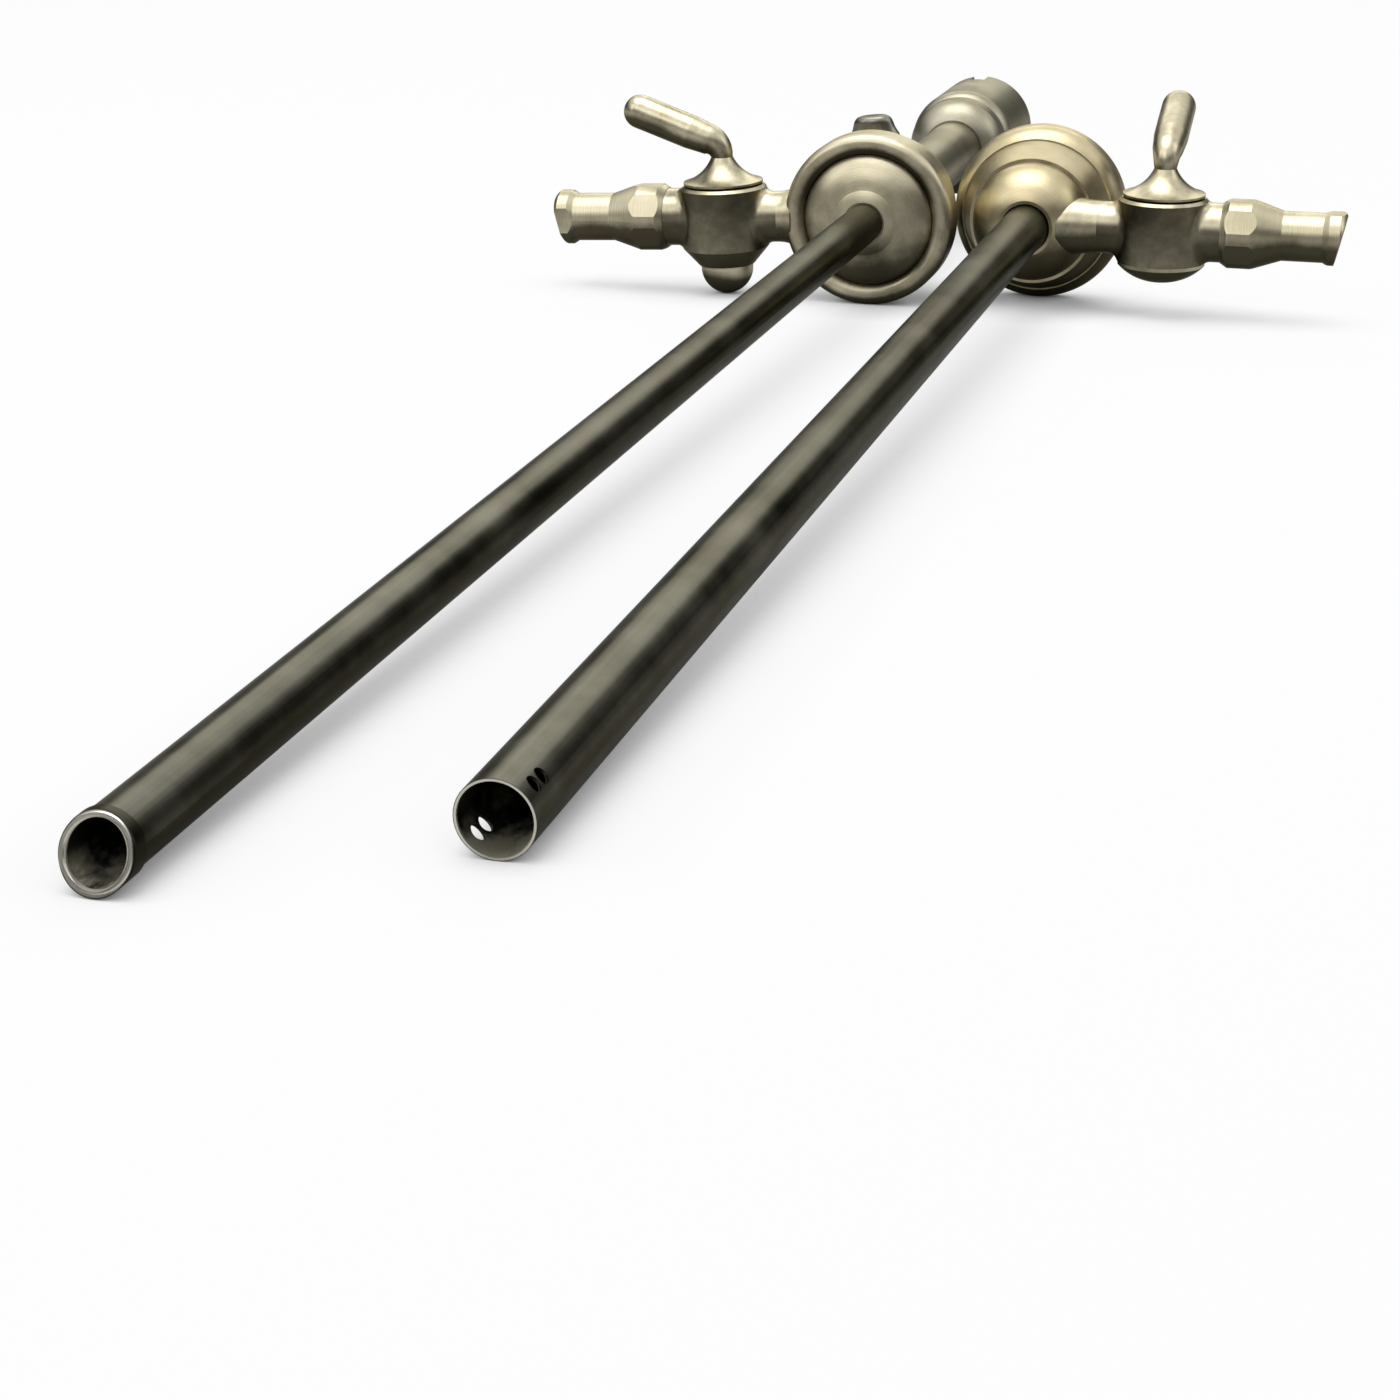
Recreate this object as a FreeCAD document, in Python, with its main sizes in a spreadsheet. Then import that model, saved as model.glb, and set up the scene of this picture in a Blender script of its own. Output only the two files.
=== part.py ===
"""Two part continuous flow sheath for a hysteroscope, taken apart and laid side by side.

The inner sheath lies on the left and the outer sheath on the right. Both tubes point
towards -Y, both hubs lie at the +Y end, and the table is the plane Z = 0.
Every sheath is drawn in a frame of its own: +Y runs along its tube from the tip to the
rear, +Z is up and the nose of its hub is at Y = 0. All sizes are in millimetres.
"""
import FreeCAD, Part
import math
import os
import Sketcher

Vector = FreeCAD.Vector
Rotation = FreeCAD.Rotation
Placement = FreeCAD.Placement

doc = FreeCAD.newDocument("hysteroscope_sheath")
sheet = doc.addObject("Spreadsheet::Sheet", "dims")

# Driving dimensions, each with the place it belongs to
DRIVING = (
    ("seat_clear", 0.05, "radial running clearance of turned seats"),
    ("side_gap", 22.2, "between the two tube axes at the hub noses"),
    ("inner_lead", 1.5, "inner nose stands this much nearer to the tips"),
    ("inner_yaw", 0.6, "inner sheath converges on the outer one, degrees"),
    ("inner_roll", 3.0, "inner sheath leans over onto the foot of its stopcock, degrees"),
    ("inner_tube_radius", 2.75, "inner tube, outside"),
    ("inner_tube_wall", 0.35, "inner tube, wall"),
    ("inner_reach", 237.6, "inner nose to the lowest point of the tip"),
    ("band_length", 3.4, "end band, along its long side"),
    ("band_proud", 0.2, "end band stands proud of the tube"),
    ("bead_radius", 0.3, "rounded lip round the mouth"),
    ("mouth_slant", 2.4, "long side of the mouth beyond the short side"),
    ("solder_rise", 1.0, "solder ring where the tube leaves the nose"),
    ("inner_port", 3.2, "side arm behind the inner nose"),
    ("outer_port", 4.2, "side arm behind the outer nose"),
    ("channel_radius", 1.6, "fluid channel of the side arms"),
    ("nose_radius", 8.6, "inner nose disc"),
    ("nose_lead", 1.4, "crown of the inner nose disc, in front of Y = 0"),
    ("nose_height", 1.2, "edge of that crown, behind Y = 0"),
    ("nose_crown", 5.2, "crown's own radius"),
    ("nose_seat", 5.2, "back of the nose disc"),
    ("drum_radius", 12.1, "inner hub drum"),
    ("drum_front", 0.6, "drum rim stands in front of the nose"),
    ("drum_round", 1.3, "rounding of the drum's front rim"),
    ("drum_straight", 4.2, "end of the drum's straight side"),
    ("drum_back", 6.8, "back face of the drum"),
    ("drum_back_radius", 10.9, "drum at its back face"),
    ("groove_radius", 9.2, "outside of the groove round the nose"),
    ("groove_floor", 1.4, "floor of that groove"),
    ("boss_radius", 8.25, "journal that the lock ring turns on"),
    ("boss_back", 12.8, "end of that journal"),
    ("tail_radius", 5.2, "thin end of the hub's tail"),
    ("tail_back", 19.5, "end of the hub's tail"),
    ("shaft_radius", 4.4, "sleeve between the hub and the rear coupling"),
    ("ring_gap", 0.2, "end clearance of the lock ring"),
    ("ring_radius", 10.7, "lock ring, outside"),
    ("ring_length", 3.9, "lock ring, along the tube"),
    ("ring_turn", 40.0, "travel of the lock ring, degrees"),
    ("slot_depth", 1.3, "stop slot in the lock ring, radial"),
    ("slot_length", 1.6, "stop slot, along the tube"),
    ("pin_radius", 0.6, "stop pin"),
    ("pin_sink", 1.2, "stop pin is sunk into the journal"),
    ("keeper_radius", 9.9, "screwed ring behind the lock ring"),
    ("keeper_notch", 1.6, "spanner notches of that ring"),
    ("knob_half_width", 3.7, "knob foot, half of its width"),
    ("knob_half_depth", 1.8, "knob foot, half of its depth"),
    ("knob_top_width", 2.7, "knob head, half of its width"),
    ("knob_height", 2.7, "knob above the lock ring"),
    ("knob_lean", 3.5, "knob leans away from the outer sheath, degrees"),
    ("rear_front", 59.5, "front of the rear coupling"),
    ("tail_grip", 4.0, "inner tube's seat in the rear coupling"),
    ("rear_radius", 7.5, "front half of the rear coupling"),
    ("rear_crown", 3.0, "rounded nose of the rear coupling"),
    ("rear_nose_length", 5.8, "front half of the rear coupling, length"),
    ("rear_spigot", 1.2, "spigot that centres the two halves"),
    ("rear_spigot_radius", 4.6, "the same, radius"),
    ("flange_radius", 8.2, "rear half of the coupling"),
    ("flange_round", 2.4, "its rounded front"),
    ("rear_length", 24.5, "rear coupling, whole length"),
    ("socket_radius", 5.0, "telescope socket"),
    ("socket_depth", 10.5, "the same, depth"),
    ("key_width", 2.4, "key slots of the telescope socket"),
    ("key_depth", 4.0, "the same, along the tube"),
    ("seal_radius", 3.8, "middle of the socket's sealing ring"),
    ("seal_thick", 0.55, "half thickness of the sealing rings"),
    ("outer_tube_radius", 3.25, "outer tube, outside"),
    ("outer_tube_wall", 0.25, "outer tube, wall"),
    ("outer_reach", 223.8, "outer nose to the tip"),
    ("outer_seat", 6.2, "outer tube's seat in the hub"),
    ("outer_seat_radius", 3.45, "thicker end of the tube in that seat"),
    ("side_hole_radius", 0.72, "suction holes near the outer tip"),
    ("side_hole_first", 2.2, "tip to the first hole"),
    ("side_hole_pitch", 1.7, "first hole to the second"),
    ("side_hole_roll", 46.0, "holes turned from the top, degrees"),
    ("dome_radius", 8.4, "outer nose dome at its step"),
    ("dome_length", 5.6, "outer nose dome"),
    ("dome_crown", 6.4, "the dome's own radius"),
    ("dome_flat", 3.9, "flat round the tube"),
    ("step_height", 0.45, "small step behind the dome"),
    ("cone_radius", 10.6, "rear end of the cone"),
    ("cone_length", 10.3, "nose to the rear end of the cone"),
    ("chamber_radius", 5.0, "fluid chamber of the outer hub"),
    ("outer_drum_radius", 12.3, "outer hub drum"),
    ("outer_drum_crown", 3.6, "rounding of its front"),
    ("outer_drum_back", 15.4, "back face of the outer drum"),
    ("socket_bore", 8.7, "bore that takes the inner nose"),
    ("spigot_wall", 0.4, "spigot that enters the inner groove"),
    ("spigot_length", 1.6, "the same, length"),
    ("face_seal_radius", 10.6, "middle of the outer face seal"),
    ("inner_cock_out", 21.8, "inner stopcock from the tube's axis"),
    ("outer_cock_out", 18.7, "outer stopcock from the tube's axis"),
    ("barrel_radius", 6.2, "stopcock barrel"),
    ("barrel_top", 4.2, "straight side of the barrel, upwards"),
    ("barrel_low", 4.3, "straight side of the barrel, downwards"),
    ("barrel_chamfer", 0.4, "barrel's top edge"),
    ("foot_radius", 3.75, "screw cap under the inner stopcock"),
    ("neck_radius", 4.0, "lower neck of the inner barrel"),
    ("neck_drop", 6.8, "face that the screw cap meets"),
    ("cap_drop", 7.2, "bottom of the outer stopcock's cap"),
    ("cap_crown", 7.6, "its own radius"),
    ("stub_radius", 3.6, "arm between hub and barrel"),
    ("inner_stub_start", 10.6, "inner arm begins inside the drum's wall"),
    ("outer_stub_start", 3.9, "outer arm begins inside the nose"),
    ("outlet_radius", 4.1, "arm between barrel and connector"),
    ("outlet_reach", 8.3, "end of that arm"),
    ("stub_blend", 1.3, "fillet where the arms meet the barrel"),
    ("plug_low_radius", 2.95, "plug at its wide lower end"),
    ("plug_top_radius", 2.4, "plug at its narrow upper end"),
    ("plug_drop", 5.3, "lower end of the plug"),
    ("plug_top", 3.95, "upper end of the plug"),
    ("plug_channel", 1.5, "cross hole of the plug"),
    ("stem_radius", 1.5, "plug stem"),
    ("stem_top", 6.4, "top of the stem, inside the lever"),
    ("head_gap", 0.3, "between barrel and lever head"),
    ("head_radius", 5.7, "lever head"),
    ("head_edge", 0.3, "its straight edge"),
    ("neck_thin", 1.55, "lever neck"),
    ("neck_start", 8.6, "lever neck, where the bend starts"),
    ("bend_radius", 2.6, "lever's bend"),
    ("grip_start", 2.15, "grip where the bend ends"),
    ("grip_taper", 3.0, "grip grows over this length"),
    ("grip_slope", 22.0, "grip above the level, degrees"),
    ("grip_radius", 2.4, "grip"),
    ("grip_length", 11.0, "grip from the bend to its round end"),
    ("spring_inner", 1.3, "disc spring, hole"),
    ("spring_thick", 0.25, "disc spring, sheet"),
    ("screw_radius", 3.15, "screw thread of the caps"),
    ("screw_length", 0.6, "the same, length"),
    ("connector_flat", 4.55, "connector collar, across its flats, half"),
    ("collar_radius", 4.85, "connector collar, across its corners, half"),
    ("collar_start", 9.3, "collar's full size begins"),
    ("collar_end", 12.4, "collar's full size ends"),
    ("waist_start", 16.6, "end of the collar's taper"),
    ("waist_radius", 3.42, "connector waist"),
    ("lug_start", 22.2, "locking ears"),
    ("lug_radius", 3.9, "the same, radius"),
    ("rim_round", 1.6, "its rounded edge"),
    ("connector_end", 25.4, "connector's long end"),
    ("connector_slant", 1.7, "its short end is this much shorter"),
    ("cone_mouth", 2.15, "six percent cone at its mouth"),
    ("cone_throat", 1.9, "the same at its throat"),
    ("cone_depth", 8.3, "the same, depth"),
    ("thread_radius", 2.4, "connector's thread in the arm"),
    ("thread_length", 2.5, "the same, length"),
)

# Sizes that follow from the driving ones
DERIVED = (
    ("inner_bore", "=inner_tube_radius - inner_tube_wall"),
    ("outer_bore", "=outer_tube_radius - outer_tube_wall"),
    ("band_radius", "=inner_tube_radius + band_proud"),
    ("ring_front", "=drum_back + ring_gap"),
    ("ring_back", "=ring_front + ring_length"),
    ("keeper_front", "=ring_back + ring_gap"),
    ("tube_tail", "=rear_front + tail_grip"),
    ("rear_split", "=rear_front + rear_nose_length"),
    ("rear_back", "=rear_front + rear_length"),
    ("socket_floor", "=rear_back - socket_depth"),
    ("drum_shoulder", "=drum_round - drum_front"),
    ("outer_shoulder", "=outer_drum_back - 2.2"),
    ("barrel_roof", "=barrel_top + barrel_chamfer"),
    ("head_low", "=barrel_roof + head_gap"),
    ("spring_low", "=neck_drop - screw_length"),
)

for row, (alias, number, place) in enumerate(DRIVING, start=1):
    sheet.set("A%d" % row, alias)
    sheet.set("B%d" % row, str(number))
    sheet.set("C%d" % row, place)
    sheet.setAlias("B%d" % row, alias)
for row, (alias, formula) in enumerate(DERIVED, start=len(DRIVING) + 1):
    sheet.set("A%d" % row, alias)
    sheet.set("B%d" % row, formula)
    sheet.setAlias("B%d" % row, alias)
doc.recompute()

NAMES = sorted((entry[0] for entry in DRIVING + DERIVED), key=len, reverse=True)
size = {name: float(sheet.get(name)) for name in NAMES}


def bound(text):
    """The text of a size, with every alias pointing into the sheet."""
    words = []
    for word in text.replace("(", " ( ").replace(")", " ) ").split():
        words.append("dims." + word if word in size else word)
    return " ".join(words)


def value(text):
    """The number that a size text stands for now."""
    return float(sheet.evalExpression(bound(text)))


def origin_plane(body, role):
    return [item for item in body.Origin.OriginFeatures if item.Role == role][0]


def new_body(label, place):
    body = doc.addObject("PartDesign::Body", label)
    body.Label = label
    body.Placement = place
    return body


def new_sketch(body, role, offset=None):
    sketch = body.newObject("Sketcher::SketchObject", body.Label + "_sketch")
    sketch.AttachmentSupport = (origin_plane(body, role), [""])
    sketch.MapMode = "FlatFace"
    if offset is not None:
        sketch.AttachmentOffset = offset
    return sketch


def bind_coordinate(sketch, kind, segment, end, text, number):
    """Ties one coordinate of an outline's corner to its size."""
    if abs(number) < 1e-9:
        axis = -2 if kind == "DistanceX" else -1
        sketch.addConstraint(Sketcher.Constraint("PointOnObject", segment, end, axis))
        return
    ends = (-1, 1, segment, end) if number > 0 else (segment, end, -1, 1)
    index = sketch.addConstraint(Sketcher.Constraint(kind, *ends, abs(number)))
    sign = "" if number > 0 else "-1 * "
    sketch.setExpression("Constraints[%d]" % index, "%s( %s )" % (sign, bound(text)))


def outline(sketch, corners):
    """Closed outline. A corner is (x, y) or (x, y, radius), where the radius makes the
    line to the next corner an arc: plus bulges out of an anticlockwise outline, minus in."""
    points = [Vector(value(corner[0]), value(corner[1]), 0) for corner in corners]
    ends = []
    for index, corner in enumerate(corners):
        start = points[index]
        finish = points[(index + 1) % len(points)]
        if len(corner) == 2:
            segment = sketch.addGeometry(Part.LineSegment(start, finish))
            ends.append((segment, 1, 2))
            continue
        bulge_in = corner[2].startswith("-")
        radius_text = corner[2].lstrip("-")
        radius = value(radius_text)
        chord = finish - start
        left = Vector(-chord.y, chord.x, 0).normalize()
        rise = math.sqrt(max(radius ** 2 - chord.Length ** 2 / 4, 0))
        centre = (start + finish) / 2 + left * (-rise if bulge_in else rise)
        first, last = (finish, start) if bulge_in else (start, finish)
        angles = [math.atan2(p.y - centre.y, p.x - centre.x) for p in (first, last)]
        circle = Part.Circle(centre, Vector(0, 0, 1), radius)
        segment = sketch.addGeometry(Part.ArcOfCircle(circle, *angles))
        ends.append((segment, 2, 1) if bulge_in else (segment, 1, 2))
        index = sketch.addConstraint(Sketcher.Constraint("Radius", segment, radius))
        sketch.setExpression("Constraints[%d]" % index, bound(radius_text))
    for index, corner in enumerate(corners):
        segment, tail, head = ends[index]
        following = ends[(index + 1) % len(ends)]
        joint = Sketcher.Constraint("Coincident", segment, head, following[0], following[1])
        sketch.addConstraint(joint)
        bind_coordinate(sketch, "DistanceX", segment, tail, corner[0], points[index].x)
        bind_coordinate(sketch, "DistanceY", segment, tail, corner[1], points[index].y)


# The plane and the axis that a turned piece's outline is drawn against
TURNING = {
    "tube": ("XY_Plane", "V_Axis"),
    "arm": ("XY_Plane", "H_Axis"),
    "stem": ("XZ_Plane", "V_Axis"),
}


def turned(label, place, axis, corners):
    """A body turned round the tube, the side arm or the plug's upright stem."""
    body = new_body(label, place)
    role, reference = TURNING[axis]
    sketch = new_sketch(body, role)
    outline(sketch, corners)
    turn = body.newObject("PartDesign::Revolution", label + "_turn")
    turn.Profile = sketch
    turn.ReferenceAxis = (sketch, [reference])
    turn.Angle = 360
    doc.recompute()
    return body


def rounded(body, places, radius_text, axis="tube"):
    """Rounds the circular edges that lie at the given (radius, along) places."""
    base = body.Tip
    names = []
    for number, edge in enumerate(base.Shape.Edges, start=1):
        if not hasattr(edge.Curve, "Radius"):
            continue
        centre = edge.Curve.Center
        along = {"tube": centre.y, "arm": centre.x, "stem": centre.z}[axis]
        for radius, where in places:
            if abs(edge.Curve.Radius - value(radius)) < 1e-4 and abs(along - value(where)) < 1e-4:
                names.append("Edge%d" % number)
    fillet = body.newObject("PartDesign::Fillet", body.Label + "_round")
    fillet.Base = (base, names)
    fillet.setExpression("Radius", bound(radius_text))
    doc.recompute()
    return fillet


def round_hole(body, role, centre, radius_text, length_text, reverse, offset=None):
    """Drills a round hole from a plane through the body's middle to one side."""
    sketch = new_sketch(body, role, offset)
    spot = Vector(value(centre[0]), value(centre[1]), 0)
    sketch.addGeometry(Part.Circle(spot, Vector(0, 0, 1), value(radius_text)))
    bind_coordinate(sketch, "DistanceX", 0, 3, centre[0], spot.x)
    bind_coordinate(sketch, "DistanceY", 0, 3, centre[1], spot.y)
    index = sketch.addConstraint(Sketcher.Constraint("Radius", 0, value(radius_text)))
    sketch.setExpression("Constraints[%d]" % index, bound(radius_text))
    return cut_away(body, sketch, length_text, reverse)


def cut_away(body, sketch, length_text, reverse=False, both_ways=False):
    """A pocket of the given length. One that removes nothing stops the script."""
    before = body.Tip.Shape.Volume
    pocket = body.newObject("PartDesign::Pocket", sketch.Label + "_cut")
    pocket.Profile = sketch
    pocket.Type = 0
    pocket.Reversed = reverse
    if both_ways:
        pocket.SideType = "Symmetric"
    pocket.setExpression("Length", bound(length_text))
    doc.recompute()
    if pocket.Shape.Volume > before - 1e-3:
        raise RuntimeError(body.Label + " lost nothing to its pocket")
    return pocket


def circled(body, feature, axis_name, count):
    """Repeats a feature evenly round one of the body's own axes."""
    pattern = body.newObject("PartDesign::PolarPattern", feature.Label + "_circle")
    pattern.Originals = [feature]
    axis = [item for item in body.Origin.OriginFeatures if item.Role == axis_name][0]
    pattern.Axis = (axis, [""])
    pattern.Angle = 360
    pattern.Occurrences = count
    body.Tip = pattern
    doc.recompute()
    return pattern


kept = []


def keep(item, label=None):
    """Marks an object as a finished piece of the set."""
    if label is not None:
        item.Label = label
    kept.append(item)
    return item


def boolean(kind, label, base, *tools):
    """Joins or cuts placed objects."""
    if kind == "Part::Cut":
        result = doc.addObject(kind, label)
        result.Base = base
        result.Tool = tools[0]
    else:
        result = doc.addObject(kind, label)
        result.Shapes = [base] + list(tools)
    result.Refine = True
    doc.recompute()
    return result


def table_slope(drum_text, shoulder_text, reach_text, tip_text):
    """Slope of the table under a sheath that rests on its drum and on its tip."""
    drop = value(drum_text) - value(tip_text)
    return math.atan2(drop, value(reach_text) + value(shoulder_text))


# How each sheath lies: on the rim of its drum and on its tip
tip_low = "band_radius + bead_radius * 0.3"
inner_slope = table_slope("drum_radius", "drum_shoulder", "inner_reach", tip_low)
outer_slope = table_slope("outer_drum_radius", "outer_shoulder", "outer_reach", "outer_tube_radius")


def table_depth(drum_text, shoulder_text, slope, along):
    """Depth of the table under the tube's axis, square to the axis."""
    return value(drum_text) + (along - value(shoulder_text)) * math.tan(slope)


inner_height = table_depth("drum_radius", "drum_shoulder", inner_slope, 0) * math.cos(inner_slope)
outer_height = table_depth("outer_drum_radius", "outer_shoulder", outer_slope, 0) * math.cos(outer_slope)

inner_turn = Rotation(Vector(0, 0, 1), -size["inner_yaw"]) * Rotation(Vector(1, 0, 0), math.degrees(inner_slope))
inner_turn = inner_turn * Rotation(Vector(0, 1, 0), -size["inner_roll"])
outer_turn = Rotation(Vector(1, 0, 0), math.degrees(outer_slope))

# The set is centred on its own outline: the connectors' ends across, tip and coupling along
inner_end = inner_turn.multVec(Vector(-size["inner_cock_out"] - size["connector_end"], size["inner_port"], 0))
outer_end = size["outer_cock_out"] + size["connector_end"]
across = (size["side_gap"] + outer_end + inner_end.x) / 2
inner_tip = inner_turn.multVec(Vector(0, -size["inner_reach"], 0))
inner_rear = inner_turn.multVec(Vector(0, size["rear_back"], -size["flange_radius"]))
along = (inner_tip.y + inner_rear.y) / 2
inner_place = Placement(Vector(-across, -along, inner_height), inner_turn)
outer_place = Placement(
    Vector(size["side_gap"] - across, size["inner_lead"] - along, outer_height), outer_turn
)


def moved(place, x=0.0, y=0.0, z=0.0, turn=None):
    """A place inside a sheath's own frame."""
    return place.multiply(Placement(Vector(x, y, z), turn or Rotation()))


def make_inner_tube():
    body = turned("inner_tube", inner_place, "tube", (
        ("inner_bore", "band_length - inner_reach"),
        ("inner_tube_radius", "band_length - inner_reach"),
        ("inner_tube_radius", "tube_tail"),
        ("inner_bore", "tube_tail"),
    ))
    round_hole(body, "YZ_Plane", ("inner_port", "0"), "channel_radius", "inner_tube_radius + 1", False)
    return keep(body)


def ring_of(label, place, middle, along_tube, thick):
    """Ring with an eight sided section, turned round the Y axis of its place."""
    section = []
    for number in range(8):
        angle = math.radians(22.5 + 45 * number)
        out = "%s + %.4f * %s" % (middle, math.cos(angle), thick)
        back = "%s + %.4f * %s" % (along_tube, math.sin(angle), thick)
        section.append((out, back))
    return turned(label, place, "tube", section)


def make_tip_band():
    """End band with a slanted mouth and a rounded lip round it."""
    band = turned("inner_tip_band_sleeve", inner_place, "tube", (
        ("inner_bore", "-1 * inner_reach"),
        ("band_radius", "-1 * inner_reach"),
        ("band_radius", "band_length - inner_reach - band_proud"),
        ("inner_tube_radius", "band_length - inner_reach"),
        ("inner_bore", "band_length - inner_reach"),
    ))
    sketch = new_sketch(band, "YZ_Plane")
    outline(sketch, (
        ("-1 * inner_reach - 1", "-1 * band_radius - 0.5"),
        ("-1 * inner_reach", "-1 * band_radius - 0.5"),
        ("-1 * inner_reach", "-1 * band_radius"),
        ("mouth_slant - inner_reach", "band_radius"),
        ("mouth_slant - inner_reach", "band_radius + 0.5"),
        ("-1 * inner_reach - 1", "band_radius + 0.5"),
    ))
    cut_away(band, sketch, "4 * band_radius", both_ways=True)
    middle = size["mouth_slant"] / 2 - size["inner_reach"]
    lean = math.atan2(size["mouth_slant"], 2 * size["band_radius"])
    leaning = Rotation(Vector(1, 0, 0), -math.degrees(lean))
    bead_place = moved(inner_place, y=middle + 0.6 * size["bead_radius"], turn=leaning)
    bead = ring_of("inner_tip_bead", bead_place, "band_radius - bead_radius * 0.7", "0", "bead_radius")
    bore = doc.addObject("Part::Cylinder", "inner_tip_bore")
    bore.setExpression("Radius", bound("inner_bore"))
    bore.setExpression("Height", bound("band_length * 2"))
    upright = Rotation(Vector(1, 0, 0), -90)
    bore.Placement = moved(inner_place, y=-size["inner_reach"] - size["band_length"] / 2, turn=upright)
    doc.recompute()
    joined = boolean("Part::MultiFuse", "inner_tip_joined", band, bead)
    return keep(boolean("Part::Cut", "inner_tip_band", joined, bore))


def make_inner_hub():
    solder = turned("inner_solder_ring", inner_place, "tube", (
        ("inner_tube_radius", "-1 * nose_lead"),
        ("inner_tube_radius", "-1 * nose_lead - solder_rise"),
        ("inner_tube_radius + solder_rise * 0.15", "-1 * nose_lead - solder_rise", "-solder_rise * 1.1"),
        ("inner_tube_radius + solder_rise", "-1 * nose_lead"),
    ))
    keep(solder)
    nose = turned("inner_nose", inner_place, "tube", (
        ("inner_tube_radius", "-1 * nose_lead"),
        ("inner_tube_radius + solder_rise", "-1 * nose_lead", "nose_crown"),
        ("nose_radius", "nose_height"),
        ("nose_radius", "nose_seat"),
        ("inner_tube_radius", "nose_seat"),
    ))
    round_hole(nose, "YZ_Plane", ("inner_port", "0"), "channel_radius", "nose_radius + 1", False)
    keep(nose)
    drum = turned("inner_drum_turned", inner_place, "tube", (
        ("inner_tube_radius", "nose_seat"),
        ("nose_radius", "nose_seat"),
        ("nose_radius", "groove_floor"),
        ("groove_radius", "groove_floor"),
        ("groove_radius", "-1 * drum_front"),
        ("drum_radius", "-1 * drum_front"),
        ("drum_radius", "drum_straight"),
        ("drum_back_radius", "drum_back"),
        ("boss_radius", "drum_back"),
        ("boss_radius", "boss_back"),
        ("tail_radius", "tail_back"),
        ("inner_tube_radius", "tail_back"),
    ))
    rounded(drum, (("drum_radius", "-1 * drum_front"), ("groove_radius", "-1 * drum_front")), "drum_round")
    round_hole(drum, "YZ_Plane", ("inner_port", "0"), "channel_radius", "drum_radius + 1", False)
    return drum


def make_lock_ring(drum):
    """Ring with a knob that turns behind the drum, its stop pin and its screwed keeper."""
    ring = turned("inner_lock_ring", inner_place, "tube", (
        ("boss_radius + seat_clear", "ring_front"),
        ("ring_radius", "ring_front"),
        ("ring_radius", "ring_back"),
        ("boss_radius + seat_clear", "ring_back"),
    ))
    rounded(ring, (("ring_radius", "ring_front"), ("ring_radius", "ring_back")), "ring_length * 0.2")
    pin_at = value("boss_radius + slot_depth / 2")
    pin_half = math.degrees(math.asin(size["pin_radius"] / pin_at))
    sketch = new_sketch(ring, "XY_Plane")
    outline(sketch, (
        ("boss_radius - 1", "ring_back - slot_length"),
        ("boss_radius + slot_depth", "ring_back - slot_length"),
        ("boss_radius + slot_depth", "ring_back + 1"),
        ("boss_radius - 1", "ring_back + 1"),
    ))
    slot = ring.newObject("PartDesign::Groove", "inner_lock_slot")
    slot.Profile = sketch
    slot.ReferenceAxis = (sketch, ["V_Axis"])
    slot.Angle = size["ring_turn"] + 2 * pin_half + 3
    slot.Midplane = True
    doc.recompute()
    keep(ring)
    pin = doc.addObject("Part::Cylinder", "inner_stop_pin")
    pin.setExpression("Radius", bound("pin_radius"))
    pin.setExpression("Height", bound("pin_sink + slot_depth * 0.8"))
    roll = Rotation(Vector(0, 1, 0), 90 + size["ring_turn"] / 2)
    start = roll.multVec(Vector(0, 0, value("boss_radius - pin_sink")))
    pin.Placement = moved(inner_place, start.x, value("ring_back - slot_length / 2"), start.z, roll)
    keep(pin)
    drilled = keep(boolean("Part::Cut", "inner_drum", drum, pin))
    keeper = turned("inner_ring_keeper", inner_place, "tube", (
        ("boss_radius", "keeper_front"),
        ("keeper_radius", "keeper_front"),
        ("keeper_radius", "boss_back - 0.4"),
        ("keeper_radius - 0.4", "boss_back"),
        ("boss_radius", "boss_back"),
    ))
    notch = round_hole(keeper, "XY_Plane", ("0", "boss_back"), "keeper_notch / 2", "keeper_radius + 1", True)
    circled(keeper, notch, "Y_Axis", 4)
    keep(keeper)
    make_knob(ring)
    return drilled


def ellipse(label, place, half_width, half_depth):
    section = doc.addObject("Part::Ellipse", label)
    section.MajorRadius = max(half_width, half_depth)
    section.MinorRadius = min(half_width, half_depth)
    section.Placement = place
    return section


def lofted(label, sections):
    loft = doc.addObject("Part::Loft", label)
    loft.Sections = sections
    loft.Solid = True
    loft.Ruled = False
    doc.recompute()
    return loft


def make_knob(ring):
    """Rounded knob that stands on the lock ring."""
    middle = value("ring_front + ring_length / 2")
    foot = size["ring_radius"]
    rise = size["knob_height"]
    wide = size["knob_half_width"]
    deep = size["knob_half_depth"]
    top = size["knob_top_width"]
    shape = (
        (-0.18, wide, deep),
        (0.12, wide * 0.92, deep),
        (0.42, top * 1.12, deep * 0.98),
        (0.75, top, deep * 0.95),
        (0.93, top * 0.82, deep * 0.8),
        (1.0, top * 0.5, deep * 0.5),
    )
    leaning = moved(inner_place, turn=Rotation(Vector(0, 1, 0), -size["knob_lean"]))
    sections = []
    for number, (share, half_width, half_depth) in enumerate(shape):
        place = moved(leaning, 0, middle, foot + share * rise)
        sections.append(ellipse("knob_section_%d" % number, place, half_width, half_depth))
    blank = lofted("inner_knob_blank", sections)
    return keep(boolean("Part::Cut", "inner_lock_knob", blank, ring))


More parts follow.
